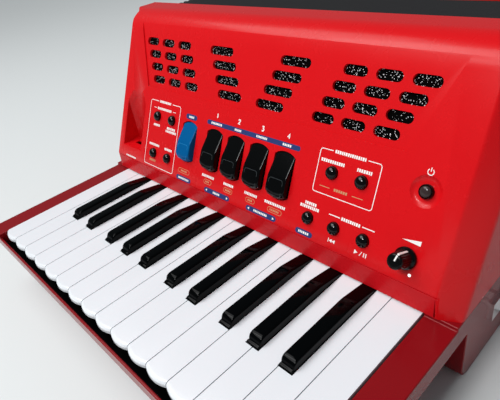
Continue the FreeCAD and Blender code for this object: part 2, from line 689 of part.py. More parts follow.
def straps():
    """The hand strap over the bass end wall, and two short straps that hold the bellows shut."""
    end, width, thick = val("bass_end_y"), val("strap_width"), val("strap_thick")
    reach, crown = 148, 188.5
    near, far = end + 3.2, end + 3.2 + thick
    outer = Part.Arc(V(-reach, far, 0), V(0, crown, 0), V(reach, far, 0)).toShape()
    inner = Part.Arc(V(-reach, near, 0), V(0, crown - thick, 0), V(reach, near, 0)).toShape()
    sides = [Part.LineSegment(V(x, near, 0), V(x, far, 0)).toShape() for x in (-reach, reach)]
    band = Part.Face(Part.Wire(Part.__sortEdges__([outer, inner] + sides))).extrude(V(0, 0, width))
    band.translate(V(0, 0, 22))
    keep(feature("HandStrap", band), "hand_strap")
    anchors = []
    for side in (-1, 1):
        anchors.append(Part.makeBox(12, 3.2, width + 6, V(side * (reach - 7) - 6, end, 19)))
    keep(feature("Anchors", Part.makeCompound(anchors)), "strap_anchors")
    ties = []
    for side in (-1, 1):
        x = side * (val("half_len") + 1.3)
        tie = Part.makeBox(2, 96, 22, V(x - 1, val("bellows_y") - 18, 60))
        stud = Part.makeCylinder(5, 0.6, V(x - side * 1.3, val("bellows_y") - 9, 71), V(side, 0, 0))
        ties.append(tie.fuse(stud))
    keep(feature("Ties", Part.makeCompound(ties)), "bellows_straps")


def strap_lugs():
    """A plate with an eye on each side of the treble case, for a shoulder strap's hook."""
    half, hooks = val("half_len"), []
    for side in (-1, 1):
        plate = Part.makeBox(2, 24, 14, V(side * (half + 1) - 1, -14, 26))
        eye = Part.makeBox(13, 3, 12, V(side * (half + 6.5) - 6.5, -3.5, 27))
        hole = Part.makeCylinder(2.6, 9, V(side * (half + 8), -6, 33), V(0, 1, 0))
        hooks.append(plate.fuse(eye).cut(hole))
    keep(feature("Lugs", Part.makeCompound(hooks)), "shoulder_strap_lugs")


def check_and_write():
    doc.recompute()
    bad = [o.Label for o in doc.Objects if {"Invalid", "Error"} & set(o.State)]
    for label, item in kept.items():
        if item.Shape.isNull() or not item.Shape.isValid() or not item.Shape.Solids:
            bad.append(label)
    if bad:
        raise RuntimeError(f"failed objects: {bad}")
    os.makedirs("parts", exist_ok=True)
    for label, item in kept.items():
        Part.makeCompound(item.Shape.Solids).exportStep(f"parts/{label}.step")
        box_of = item.Shape.BoundBox
        print(label, len(item.Shape.Solids), [round(v, 1) for v in (
            box_of.XMin, box_of.XMax, box_of.YMin, box_of.YMax, box_of.ZMin, box_of.ZMax)])
    print(len(kept), "nodes")


fill_sheet()
key_parts()
doc.recompute()
key_springs()
treble_cover()
treble_base()
treble_inside()
registers()
controls()
bass_end()
bellows()
straps()
strap_lugs()
check_and_write()
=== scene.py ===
import math
import random

import bmesh
import bpy
from mathutils import Matrix, Vector


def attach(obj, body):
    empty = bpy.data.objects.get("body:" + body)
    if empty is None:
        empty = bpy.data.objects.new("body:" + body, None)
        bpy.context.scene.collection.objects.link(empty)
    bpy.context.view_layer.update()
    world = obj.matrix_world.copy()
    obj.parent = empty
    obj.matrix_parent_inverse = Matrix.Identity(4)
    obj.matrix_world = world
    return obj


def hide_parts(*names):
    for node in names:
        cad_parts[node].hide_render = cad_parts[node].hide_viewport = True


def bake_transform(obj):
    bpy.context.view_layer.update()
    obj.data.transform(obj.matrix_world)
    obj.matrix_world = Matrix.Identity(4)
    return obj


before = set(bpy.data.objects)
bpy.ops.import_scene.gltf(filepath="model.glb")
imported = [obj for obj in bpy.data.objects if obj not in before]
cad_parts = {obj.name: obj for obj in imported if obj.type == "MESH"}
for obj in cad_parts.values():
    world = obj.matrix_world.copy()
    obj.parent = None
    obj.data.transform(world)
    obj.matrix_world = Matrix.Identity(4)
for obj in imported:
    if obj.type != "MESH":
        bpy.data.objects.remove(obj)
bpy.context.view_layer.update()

# Sizes are in millimetres and match the solids. X runs along the keyboard, Y towards the bass end.
MM = 0.001

# The case: half its length, its wall and the radius of its shoulders; stations along Y; heights
# off the table; the slopes of the panel and of the board that carries the bass buttons.
HALF, WALL, SHOULDER = 177.0, 3.0, 24.0
FRONT_Y, LIP_Y, BELLOWS_Y, BASS_Y, BASS_END = -188.5, -59.0, 30.0, 90.0, 160.0
TRAY, DECK, TOP = 41.0, 57.5, 192.0
TILT, SLOPE, LIP_RISE = math.radians(64.4), 116, 17.3
BOARD_TILT, BOARD_FOOT = math.radians(110.5), 92.0

# The keys: reaches run forward from the lip and rises go up from the white keys' top. A notch
# leaves BLACK_ROOM beside a black key. The last line has the bores' radii and the arms' width.
KEY_TOP, PITCH, KEY_GAP, KEY_REAR = 56.0, 19.6, 0.6, 6
WHITE_REACH, WHITE_STEP, TIP_BOW, TIP_ROUND = 122.2, 76.0, 2.3, 2.5
BLACK_REACH, BLACK_BEND, BLACK_RISE, BLACK_HALF = 75.5, 20.5, 5.65, 4.7
BLACK_ROOM, SHALLOW_NOTCH = 0.5, 0.4
KEY_BORE, SMALL_BORE, ARM_WIDTH = 1.55, 1.05, 8.0

# Each black key: the white key on its left, and its shift from the line between the two.
BLACK_KEYS = [(2, -2.5), (3, 2.3), (5, -4.6), (6, -0.6), (7, 4.4),
              (9, -2.5), (10, 2.3), (12, -4.6), (13, -0.6), (14, 4.4)]

# Controls, placed on the panel by X and by distance up its slope from the lip.
REGISTERS = {"set_register_key": -59.6, "register_key_1": -28.4, "register_key_2": -4.2,
             "register_key_3": 20.0, "register_key_4": 44.2}
BUTTONS = {
    "left_button_1": (-105.6, 45.9), "left_button_2": (-84.5, 45.9),
    "left_button_3": (-105.6, 13.1), "left_button_4": (-84.5, 13.1),
    "right_button_1": (83.4, 45.9), "right_button_2": (104.8, 45.9),
    "program_button": (72.8, 13.1), "player_back_button": (93.4, 13.1),
    "player_play_button": (114.6, 13.1),
}
POWER, KNOB, REGISTER_UP = (143.2, 51.9), (142.4, 13.6), 33.25
random.seed(7)

PANEL = Matrix(((1, 0, 0, 0), (0, math.cos(TILT), -math.sin(TILT), LIP_Y),
                (0, math.sin(TILT), math.cos(TILT), KEY_TOP + LIP_RISE), (0, 0, 0, 1)))
BOARD = Matrix(((-1, 0, 0, 0), (0, math.cos(BOARD_TILT), math.sin(BOARD_TILT), BASS_END),
                (0, math.sin(BOARD_TILT), -math.cos(BOARD_TILT), BOARD_FOOT), (0, 0, 0, 1)))
ALONG_X = Matrix.Rotation(math.pi / 2, 4, "Y")

# Edges that turn by more degrees than SHARP are shaded sharp; a shoulder has ARC_STEPS facets.
SHARP, ARC_STEPS = 32.0, 12


# ---------------------------------------------------------------- materials


def base_material(name, color, rough=0.35, coat=0.0, metal=0.0, specular=0.5):
    made = bpy.data.materials.new(name)
    made.use_nodes = True
    shader = made.node_tree.nodes["Principled BSDF"]
    shader.inputs["Base Color"].default_value = (*color, 1)
    shader.inputs["Roughness"].default_value = rough
    shader.inputs["Metallic"].default_value = metal
    shader.inputs["Coat Weight"].default_value = coat
    shader.inputs["Coat Roughness"].default_value = 0.04
    shader.inputs["Specular IOR Level"].default_value = specular
    return made


def texture(made, kind, scale, **sockets):
    """A noise or cell texture in the object's own space, added to a material."""
    nodes, links = made.node_tree.nodes, made.node_tree.links
    space = nodes.new("ShaderNodeTexCoord")
    made_texture = nodes.new(kind)
    made_texture.inputs["Scale"].default_value = scale
    for socket, value in sockets.items():
        made_texture.inputs[socket].default_value = value
    links.new(space.outputs["Object"], made_texture.inputs["Vector"])
    return made_texture


def add_bump(made, source, strength, depth):
    nodes, links = made.node_tree.nodes, made.node_tree.links
    bump = nodes.new("ShaderNodeBump")
    bump.inputs["Strength"].default_value = strength
    bump.inputs["Distance"].default_value = depth
    links.new(source, bump.inputs["Height"])
    links.new(bump.outputs["Normal"], nodes["Principled BSDF"].inputs["Normal"])


def add_range(made, source, socket, low, high):
    """Spreads a texture's values between low and high on one of the shader's inputs."""
    nodes, links = made.node_tree.nodes, made.node_tree.links
    spread = nodes.new("ShaderNodeMapRange")
    spread.inputs["To Min"].default_value = low
    spread.inputs["To Max"].default_value = high
    links.new(source, spread.inputs["Value"])
    links.new(spread.outputs["Result"], nodes["Principled BSDF"].inputs[socket])


def plastic(name, color, rough, coat=0.0, grain=0.0, specular=0.5):
    """Plastic whose gloss varies a little, with an optional moulded grain."""
    made = base_material(name, color, rough, coat, specular=specular)
    noise = texture(made, "ShaderNodeTexNoise", 55, Detail=4)
    add_range(made, noise.outputs["Fac"], "Roughness", rough * 0.85, rough * 1.2)
    if grain:
        fine = texture(made, "ShaderNodeTexNoise", 2600, Detail=2)
        add_bump(made, fine.outputs["Fac"], grain, 0.0001)
    return made


def cloth_with_painted_glints(name):
    """Black speaker cloth with a few silver threads; their glints are painted as pale specks in the
    base colour.
    """
    ground, glint_speck, share = (0.0012, 0.0012, 0.0012), (0.75, 0.76, 0.78), 0.045
    made = base_material(name, ground, 0.8, specular=0.02)
    nodes, links = made.node_tree.nodes, made.node_tree.links
    # Painted glints: sparse cells take a pale colour as specks of reflected light.
    cells = texture(made, "ShaderNodeTexVoronoi", 2400)
    split = nodes.new("ShaderNodeSeparateColor")
    links.new(cells.outputs["Color"], split.inputs["Color"])
    glint_mask = nodes.new("ShaderNodeMath")
    glint_mask.operation = "GREATER_THAN"
    glint_mask.inputs[1].default_value = 1 - share
    links.new(split.outputs["Red"], glint_mask.inputs[0])
    blend = nodes.new("ShaderNodeMix")
    blend.data_type = "RGBA"
    blend.inputs["A"].default_value = (*ground, 1)
    blend.inputs["B"].default_value = (*glint_speck, 1)
    links.new(glint_mask.outputs[0], blend.inputs["Factor"])
    links.new(blend.outputs["Result"], nodes["Principled BSDF"].inputs["Base Color"])
    add_bump(made, split.outputs["Green"], 0.2, 0.0002)
    return made


def leather(name, color):
    made = base_material(name, color, 0.5)
    cells = texture(made, "ShaderNodeTexVoronoi", 700)
    add_bump(made, cells.outputs["Distance"], 0.35, 0.0004)
    noise = texture(made, "ShaderNodeTexNoise", 90, Detail=4)
    add_range(made, noise.outputs["Fac"], "Roughness", 0.4, 0.6)
    return made


def woven(name, color):
    made = base_material(name, color, 0.8)
    noise = texture(made, "ShaderNodeTexNoise", 1500, Detail=3)
    add_bump(made, noise.outputs["Fac"], 0.4, 0.0003)
    return made


def brushed(name, color, rough):
    made = base_material(name, color, rough, metal=1.0)
    noise = texture(made, "ShaderNodeTexNoise", 300, Detail=3)
    add_range(made, noise.outputs["Fac"], "Roughness", rough * 0.8, rough * 1.3)
    return made


RED = plastic("red_lacquer", (0.61, 0.004, 0.007), 0.26, coat=0.06, specular=0.2)
# A darker, duller copy of the red for the cover's front faces: painted shade.
SHADED_FASCIA = plastic("red_fascia_painted_shade", (0.56, 0.007, 0.012), 0.27, specular=0.08)
DISH_RED = plastic("red_dish", (0.6, 0.004, 0.007), 0.1, coat=1.0, specular=0.8)
SEAM = plastic("seam_shadow", (0.05, 0.001, 0.001), 0.6, specular=0.05)
# The lower case and tray use a much darker copy of the red lacquer: painted shade.
SHADED_TRAY_RED = plastic("red_tray_painted_shade", (0.22, 0.004, 0.007), 0.22, coat=0.1, specular=0.2)
WHITE = plastic("white_key_gloss", (0.75, 0.775, 0.81), 0.18, coat=0.2, specular=0.4)
BLACK = plastic("black_key_gloss", (0.0004, 0.0006, 0.0008), 0.07, specular=0.09)
ROCKER = plastic("black_rocker_gloss", (0.0004, 0.0005, 0.0006), 0.09, specular=0.2)
CAP = plastic("black_cap_gloss", (0.0003, 0.0004, 0.0005), 0.04, specular=0.3)
GRIP = plastic("black_knob", (0.0008, 0.0008, 0.001), 0.22, specular=0.2)
BASS_CAP = plastic("bass_cap_gloss", (0.01, 0.01, 0.011), 0.22, coat=0.3, specular=0.5)
# Lighter strips round the register keys' pads are painted highlights.
PAD_HIGHLIGHT = plastic("black_pad_painted_highlight", (0.028, 0.034, 0.036), 0.35, specular=0.3)
BLUE_PAD_HIGHLIGHT = plastic("blue_pad_painted_highlight", (0.01, 0.2, 0.46), 0.35, specular=0.3)
# Near-black sheets laid in the key well are painted shade.
WELL_SHADE = plastic("black_well_painted_shade", (0.0006, 0.0006, 0.0008), 0.5, specular=0.02)
SATIN = plastic("black_satin", (0.003, 0.003, 0.0035), 0.4, grain=0.1, specular=0.2)
BLUE = plastic("blue_satin", (0.0, 0.085, 0.25), 0.22, specular=0.08)
SMOKE = plastic("smoked_cap", (0.035, 0.022, 0.022), 0.1, specular=0.3)
CLOTH = cloth_with_painted_glints("speaker_cloth")
PLEAT = woven("bellows_cloth", (0.012, 0.012, 0.014))
HIDE = leather("strap_leather", (0.015, 0.013, 0.012))
FELT = woven("green_felt", (0.02, 0.07, 0.03))
STEEL = brushed("ground_steel", (0.55, 0.55, 0.56), 0.3)
CHROME = brushed("polished_chrome", (0.82, 0.82, 0.83), 0.08)
GREEN = plastic("board_lacquer", (0.01, 0.09, 0.03), 0.35)
INK = {
    "white": plastic("ink_white", (0.86, 0.84, 0.82), 0.45),
    "navy": plastic("ink_navy", (0.012, 0.03, 0.14), 0.4),
    "tan": plastic("ink_tan", (0.55, 0.25, 0.12), 0.45),
    "thread": plastic("thread", (0.55, 0.5, 0.42), 0.7),
    "lamp": plastic("power_lamp", (0.9, 0.9, 0.9), 0.4),
}
glow = INK["lamp"].node_tree.nodes["Principled BSDF"].inputs
glow["Emission Color"].default_value = (1, 1, 1, 1)
glow["Emission Strength"].default_value = 0.6
FLOOR = plastic("pale_floor", (0.71, 0.735, 0.735), 0.7)


# ---------------------------------------------------------------- mesh helpers


def add_object(name, verts, faces, material, place=None, sharp=SHARP, smooth=True):
    """A mesh from points in millimetres, shaded smooth except across sharp edges."""
    mesh = bpy.data.meshes.new(name)
    move = place if place is not None else Matrix()
    mesh.from_pydata([move @ Vector(v) * MM for v in verts], [], faces)
    mesh.validate()
    editor = bmesh.new()
    editor.from_mesh(mesh)
    bmesh.ops.recalc_face_normals(editor, faces=editor.faces)
    editor.to_mesh(mesh)
    editor.free()
    mesh.materials.append(material)
    if smooth:
        mesh.shade_smooth()
        mesh.set_sharp_from_angle(angle=math.radians(sharp))
    made = bpy.data.objects.new(name, mesh)
    bpy.context.collection.objects.link(made)
    return made


def extruded(name, outline, low, high, material, place=None):
    """A flat outline of (x, y) points made solid between two heights."""
    count = len(outline)
    verts = [(x, y, low) for x, y in outline] + [(x, y, high) for x, y in outline]
    faces = [tuple(range(count))[::-1], tuple(range(count, 2 * count))]
    faces += [(i, (i + 1) % count, count + (i + 1) % count, count + i) for i in range(count)]
    return add_object(name, verts, faces, material, place)


def skin(rings):
    """The points of rings that all have the same number of points, and the faces between them."""
    count, faces = len(rings[0]), []
    for r in range(len(rings) - 1):
        for i in range(count):
            j = (i + 1) % count
            near, far = r * count, (r + 1) * count
            faces.append((near + i, near + j, far + j, far + i))
    return [v for ring in rings for v in ring], faces


def lofted(name, rings, material, place=None, sharp=SHARP):
    """A closed solid through rings that all have the same number of points."""
    count = len(rings[0])
    verts, faces = skin(rings)
    faces.append(tuple(range(count))[::-1])
    faces.append(tuple(range((len(rings) - 1) * count, len(rings) * count)))
    return add_object(name, verts, faces, material, place, sharp)


def turned(name, profile, material, place=None, steps=48, sharp=SHARP, flute=None):
    """A shape turned about its own Z from (radius, height) points; flute varies the radius."""
    rings = []
    for radius, height in profile:
        ring = []
        for i in range(steps):
            angle = math.tau * i / steps
            r = radius + (flute(angle, radius, height) if flute else 0.0)
            ring.append((r * math.cos(angle), r * math.sin(angle), height))
        rings.append(ring)
    return lofted(name, rings, material, place, sharp)


def hoop(name, section, material, place, steps=48):
    """A ring turned about its own Z from a closed section of (radius, height) points."""
    count, verts, faces = len(section), [], []
    for i in range(steps):
        angle = math.tau * i / steps
        verts += [(r * math.cos(angle), r * math.sin(angle), z) for r, z in section]
    for i in range(steps):
        for k in range(count):
            n, j = (k + 1) % count, (i + 1) % steps
            faces.append((i * count + k, i * count + n, j * count + n, j * count + k))
    return add_object(name, verts, faces, material, place)


def block(name, low, high, material, place=None):
    (x0, y0, z0), (x1, y1, z1) = low, high
    return extruded(name, [(x0, y0), (x1, y0), (x1, y1), (x0, y1)], z0, z1, material, place)


def round_edges(obj, width):
    """Rounds every sharp edge."""
    bevel = obj.modifiers.new("RoundEdges", "BEVEL")
    bevel.width = width * MM
    bevel.segments = 3
    bevel.limit_method = "ANGLE"
    bevel.angle_limit = math.radians(35)
    bevel.harden_normals = True
    bevel.miter_outer = "MITER_ARC"
    return obj


def carve(obj, tools):
    """Cuts the tools out of obj and deletes them."""
    for tool in tools:
        step = obj.modifiers.new("Carve", "BOOLEAN")
        step.operation = "DIFFERENCE"
        step.solver = "EXACT"
        step.object = tool
    graph = bpy.context.evaluated_depsgraph_get()
    mesh = bpy.data.meshes.new_from_object(obj.evaluated_get(graph))
    obj.modifiers.clear()
    obj.data = mesh
    for tool in tools:
        bpy.data.objects.remove(tool)
    mesh.shade_smooth()
    mesh.set_sharp_from_angle(angle=math.radians(SHARP))


def joined(name, objects):
    """Several objects made into one, each keeping its materials."""
    verts, faces, slots, marks, smooth = [], [], [], [], []
    for obj in objects:
        start = len(verts)
        verts += [v.co.copy() for v in obj.data.vertices]
        for face in obj.data.polygons:
            faces.append([start + i for i in face.vertices])
            material = obj.data.materials[face.material_index]
            if material not in slots:
                slots.append(material)
            marks.append(slots.index(material))
            smooth.append(face.use_smooth)
    mesh = bpy.data.meshes.new(name)
    mesh.from_pydata(verts, [], faces)
    for material in slots:
        mesh.materials.append(material)
    for face, mark, soft in zip(mesh.polygons, marks, smooth):
        face.material_index = mark
        face.use_smooth = soft
    mesh.set_sharp_from_angle(angle=math.radians(SHARP))
    made = bpy.data.objects.new(name, mesh)
    bpy.context.collection.objects.link(made)
    for obj in objects:
        bpy.data.objects.remove(obj)
    return made


def bar_outline(width, height, radius, steps=8, x=0.0, y=0.0):
    """A rectangle with rounded corners, as points."""
    points = []
    for corner, (sx, sy) in enumerate(((1, 1), (-1, 1), (-1, -1), (1, -1))):
        cx, cy = x + sx * (width / 2 - radius), y + sy * (height / 2 - radius)
        for i in range(steps + 1):
            angle = math.pi / 2 * (corner + i / steps)
            points.append((cx + radius * math.cos(angle), cy + radius * math.sin(angle)))
    return points


def arc_points(centre, radius, start, end, steps):
    angles = [start + (end - start) * i / steps for i in range(steps + 1)]
    return [(centre[0] + radius * math.cos(a), centre[1] + radius * math.sin(a)) for a in angles]


def upright(x=0.0):
    """Stands a (y, z) outline on its side at x, to be extruded along X."""
    return Matrix(((0, 0, 1, x), (1, 0, 0, 0), (0, 1, 0, 0), (0, 0, 0, 1)))


def on_panel(x, up):
    """A place on the panel's face, its Z out of the panel."""
    return PANEL @ Matrix.Translation((x, up, 0))


def give(obj, body, *nodes):
    """The piece rides on a body and stands for these solids."""
    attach(obj, body)
    if nodes:
        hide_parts(*nodes)


# ---------------------------------------------------------------- treble case


def treble_profile(inset):
    """The cover's side outline in (y, z), from the lip round to the back."""
    c, s = math.cos(TILT), math.sin(TILT)
    foot = (LIP_Y, KEY_TOP + LIP_RISE)
    centre = (foot[0] + SLOPE * c + SHOULDER * s, foot[1] + SLOPE * s - SHOULDER * c)
    lip, back = LIP_Y + inset, BELLOWS_Y - inset
    knee = foot[1] - inset * (1 - s) / c
    crown = arc_points(centre, SHOULDER - inset, TILT + math.pi / 2, math.pi / 2, ARC_STEPS)
    low = DECK - (1.0 if inset else 0.0)
    return [(lip, low), (lip, knee)] + crown + [(back, crown[-1][1]), (back, low)]


def end_sections(half):
    """Stations along a case, each with how far the face is drawn back there."""
    curve = [(13.8, 0.0), (13.0, 0.12), (12.2, 0.55), (11.2, 1.35),
             (1.2, 12.4), (0.5, 13.4), (0.12, 14.6), (0.0, 16.0)]
    left = [(-half + x, d) for x, d in reversed(curve)]
    return left + [(-x, d) for x, d in reversed(left)]


def drawn_back(profile, depth):
    """The profile with its front face moved back into the case along the panel's normal."""
    c, s = math.cos(TILT), math.sin(TILT)
    moved = []
    for y, z in profile:
        out = -(y - LIP_Y) * s + (z - KEY_TOP - LIP_RISE) * c
        shift = max(0.0, out + depth)
        y2, z2 = y + shift * s, z - shift * c
        moved.append((min(y2, BELLOWS_Y), max(z2, DECK if z >= DECK else z)))
    return moved


def case_body(name, half, inset):
    profile = treble_profile(inset)
    rings = [[(x, y, z) for y, z in drawn_back(profile, depth + inset)]
             for x, depth in end_sections(half)]
    return lofted(name, rings, RED)


def slot_tool(x, up):
    """A cutter for a register key's slot, with straight sides and bowed ends."""
    width, length, bow = 18.6, 33.5, 3.0
    points = []
    for side in (1, -1):
        for i in range(13):
            u = side * (1 - i / 6)
            points.append((x + u * width / 2, up + side * (length / 2 - bow * abs(u) ** 2.4)))
    return extruded("Tool", points, -8, 6, RED, PANEL)


def pocket_tool():
    """The upright, round-backed pocket at the low end of the panel, with a level floor."""
    x, half, front, side, back = -141.3, 14.7, -70, -36.5, -30.5
    floor, ceiling = 82.3, 144
    plan = [(x - half, front), (x + half, front)]
    for i in range(25):
        u = 1 - i / 12
        plan.append((x + half * u, side + (back - side) * (1 - u * u)))
    return extruded("Pocket", plan, floor, ceiling, RED)


def grille_tools():
    """Four rows of round-ended slots on each side, each row further out than the one below."""
    tools = []
    for row in range(4):
        up = 76.8 + row * 10.3
        for length, x in ((26, 20.7), (17, 67.0), (17, 89.5), (17, 112.0)):
            for side in (-1, 1):
                outline = bar_outline(length, 6.3, 3.1, 8, side * (x + row * 5.3), up)
                tools.append(extruded("Slot", outline, -8, 4, RED, PANEL))
    return tools


def treble_cover():
    """Lip, sloping panel, grille field and round shoulder, cut for all that comes through them."""
    cover = case_body("TrebleCover", HALF, 0.0)
    field = [(-126.5, 69.4), (126.5, 69.4), (166, 170), (-166, 170)]
    dish = [(5.4, -1.5), (6.6, -1.35), (7.6, -0.95), (8.4, -0.45), (9.1, 0.05), (9.1, 3)]
    seam_low, seam_high = 71.9, 72.4
    cut = [
        case_body("Hollow", HALF - WALL, WALL),
        extruded("Field", field, -0.9, 6, RED, PANEL),
        turned("Dish", dish, DISH_RED, on_panel(*POWER)),
        block("Seam", (-HALF - 1, LIP_Y - 1, seam_low), (HALF + 1, LIP_Y + 0.5, seam_high), SEAM),
    ]
    tools = grille_tools() + [slot_tool(x, REGISTER_UP) for x in REGISTERS.values()]
    holes = [(where, 4.35) for where in BUTTONS.values()] + [(POWER, 3.45), (KNOB, 3.3)]
    for where, radius in holes:
        tools.append(turned("Hole", [(radius, -8), (radius, 4)], RED, on_panel(*where), 40))
    cut += [joined("Tools", tools), pocket_tool()]
    carve(cover, cut)
    # Painted shade: the front-facing faces below the panel take the darker copy of the red.
    cover.data.materials.append(SHADED_FASCIA)
    for face in cover.data.polygons:
        if face.normal.y < -0.99 and face.center.z < (KEY_TOP + LIP_RISE) * MM:
            face.material_index = 1
    round_edges(cover, 0.55)
    give(cover, "treble", "treble_cover")


def rail_corner(side, radius=6, steps=8):
    """A cutter that rounds one end of the front rail."""
    centre = (side * (HALF - radius), FRONT_Y + radius)
    points = [(side * (HALF + 1), FRONT_Y - 1), (side * (HALF + 1), centre[1])]
    for i in range(steps + 1):
        a = math.pi / 2 * i / steps
        points.append((centre[0] + side * radius * math.cos(a), centre[1] - radius * math.sin(a)))
    points.append((centre[0], FRONT_Y - 1))
    return extruded("Corner", points, TRAY - 1, KEY_TOP + 1, RED)


def treble_base():
    """The lower case and the thin tray that holds the keyboard out in front of it."""
    edge, waist = PITCH * 8 + KEY_GAP, LIP_Y + 14
    step, brim = LIP_Y + 0.6, KEY_TOP - 0.8
    floor, front, above = TRAY + WALL, FRONT_Y + 2, 90
    side = [(waist, 8), (waist + 2.3, 2.3), (waist + 8, 0), (BELLOWS_Y, 0), (BELLOWS_Y, DECK),
            (step, DECK), (step, brim), (FRONT_Y, brim), (FRONT_Y, TRAY), (waist, TRAY)]
    # Painted shade: the lower case and tray are drawn in the darker copy of the red.
    base = extruded("TrebleBase", side, -HALF, HALF, SHADED_TRAY_RED, upright())
    well = block("Well", (-edge, front, floor), (edge, waist + 6, above), RED)
    rail = block("Rail", (-edge, FRONT_Y - 2, KEY_TOP - 5), (edge, FRONT_Y + 5, above), RED)
    room = block("Room", (-HALF + WALL, waist + WALL, WALL),
                 (HALF - WALL, BELLOWS_Y - WALL, above), RED)
    carve(base, [well, rail, room, rail_corner(-1), rail_corner(1)])
    round_edges(base, 0.8)
    give(base, "treble", "treble_base")
    # Painted shade: thin near-black sheets on the well's floor and front rail, under the keys.
    lining = block("WellFloor", (-edge, front, floor), (edge, waist, floor + 0.2), WELL_SHADE)
    inner = block("WellRail", (-edge, front, floor), (edge, front + 0.3, KEY_TOP - 5.3), WELL_SHADE)
    give(joined("WellShadeSheets", [lining, inner]), "treble")


# ---------------------------------------------------------------- keys


def notch_edges(index):
    """The sides of a white key between the black keys; a very shallow notch is left out."""
    offsets = dict(BLACK_KEYS)
    half, room = (PITCH - KEY_GAP) / 2, BLACK_HALF + BLACK_ROOM
    left = -PITCH / 2 + offsets[index - 1] + room if index - 1 in offsets else -half
    right = PITCH / 2 + offsets[index] - room if index in offsets else half
    left = left if left + half > SHALLOW_NOTCH else -half
    right = right if half - right > SHALLOW_NOTCH else half
    return left, right


def white_key(index):
    """A white key with a bowed tip that rolls over in front, notched beside its neighbours."""
    half, thick, steps = (PITCH - KEY_GAP) / 2, 4, 9
    tip, step, rear = LIP_Y - WHITE_REACH, LIP_Y - WHITE_STEP, LIP_Y + KEY_REAR
    left, right = notch_edges(index)
    low = KEY_TOP - TIP_ROUND
    levels = [(KEY_TOP - thick, 0.0), (low, 0.0)]
    for turn in range(1, steps + 1):
        angle = math.pi / 2 * turn / steps
        levels.append((low + TIP_ROUND * math.sin(angle), TIP_ROUND - TIP_ROUND * math.cos(angle)))
    rings = []
    for z, back in levels:
        outline = [(left, rear), (left, step), (-half, step)]
        for i in range(25):
            u = -1 + i / 12
            outline.append((half * u, tip - TIP_BOW * (1 - u * u) + back))
        outline += [(half, step), (right, step), (right, rear)]
        rings.append([(x, y, z) for x, y in outline])
    middle = (index - 8.5) * PITCH
    key = lofted(f"WhiteKey{index:02d}", rings, WHITE, Matrix.Translation((middle, 0, 0)))
    round_edges(key, 0.4)
    name = f"white_key_{index:02d}"
    give(key, name, name)
    key_arm(name, middle + (left + right) / 2, min(right - left, ARM_WIDTH))


def key_arm(name, x, width):
    """The arm behind a key that turns on the pivot rod."""
    y, z, rear = LIP_Y + 24, KEY_TOP - 8, LIP_Y + KEY_REAR
    side = [(LIP_Y - 10, 52.5), (rear, 52.5), (rear, 55.5), (y + 5, 53.5), (y + 5, z - 4),
            (y - 6, z - 4), (LIP_Y - 4, 49)]
    arm = extruded("Arm" + name, side, -width / 2, width / 2, SATIN, upright(x))
    rod = Matrix.Translation((x, y, z)) @ ALONG_X
    carve(arm, [turned("Bore", [(KEY_BORE, -20), (KEY_BORE, 20)], SATIN, rod, 24)])
    give(arm, name)


def black_stations():
    """Stations along a black key, each with its y, top height, edge radius and half width."""
    tip, bend, rear = LIP_Y - BLACK_REACH, LIP_Y - BLACK_BEND, LIP_Y + KEY_REAR
    top, tail, nose, edge, half = KEY_TOP + BLACK_RISE, KEY_TOP + 0.9, 4.6, 1.4, BLACK_HALF
    stations = [(tip, 56.9, 0.3, 4.1), (tip + 0.2, 57.1, 0.4, 4.45), (tip + 0.6, 57.25, 0.5, half),
                (tip + 1.3, 57.4, 0.5, 4.6), (tip + 1.7, 57.6, 0.5, 4.3)]
    for degrees in (18, 27, 36, 46, 57, 68, 79, 90):
        angle = math.radians(degrees)
        narrow = 0.4 * (1 - min(1.0, (degrees - 18) / 39)) ** 2
        stations.append((tip + 6.5 - nose * math.cos(angle), top - nose + nose * math.sin(angle),
                         0.6 + 0.8 * degrees / 90, half - narrow))
    for past, drop in ((-2, 0.0), (-0.8, 0.05), (0.6, 0.2), (2, 0.4)):
        stations.append((bend + past, top - drop, edge, half))
    return stations + [(LIP_Y - 1.3, KEY_TOP + 1.9, 1.0, half), (LIP_Y - 1.25, tail, 0.5, half),
                       (rear, tail, 0.5, half)]


def black_key(number, left_white, shift):
    """A low black key: a foot, a rounded nose, a flat top and a slope behind its bend."""
    under, rings = 52.0, []
    for y, high, radius, half in black_stations():
        arcs = []
        for side, start in ((-1, math.pi), (1, math.pi / 2)):
            centre = (side * (half - radius), high - radius)
            arcs += arc_points(centre, radius, start, start - math.pi / 2, 6)
        section = [(-BLACK_HALF, under)] + arcs + [(BLACK_HALF, under)]
        rings.append([(x, y, z) for x, z in section])
    x = (left_white - 8) * PITCH + shift
    name = f"black_key_{number:02d}"
    key = lofted(f"BlackKey{number:02d}", rings, BLACK, Matrix.Translation((x, 0, 0)), 40)
    give(key, name, name)
    key_arm(name, x, ARM_WIDTH)


def keys():
    for index in range(1, 17):
        white_key(index)
    for i, (left_white, shift) in enumerate(BLACK_KEYS, start=1):
        black_key(i, left_white, shift)


# ---------------------------------------------------------------- controls


def register_height(y):
    """Height of a register key above the panel, from its tip (y low) to its top."""
    points = [(-16.4, 1.2), (-15.4, 3.0), (-14.0, 4.3), (-12.4, 4.95), (-10.5, 5.1),
              (-1.8, 4.75), (0.0, 4.4), (14.6, -0.6), (16.4, -1.2)]
    for (y0, z0), (y1, z1) in zip(points, points[1:]):
        if y <= y1:
            return z0 + (z1 - z0) * max(0.0, (y - y0) / (y1 - y0))
    return points[-1][1]


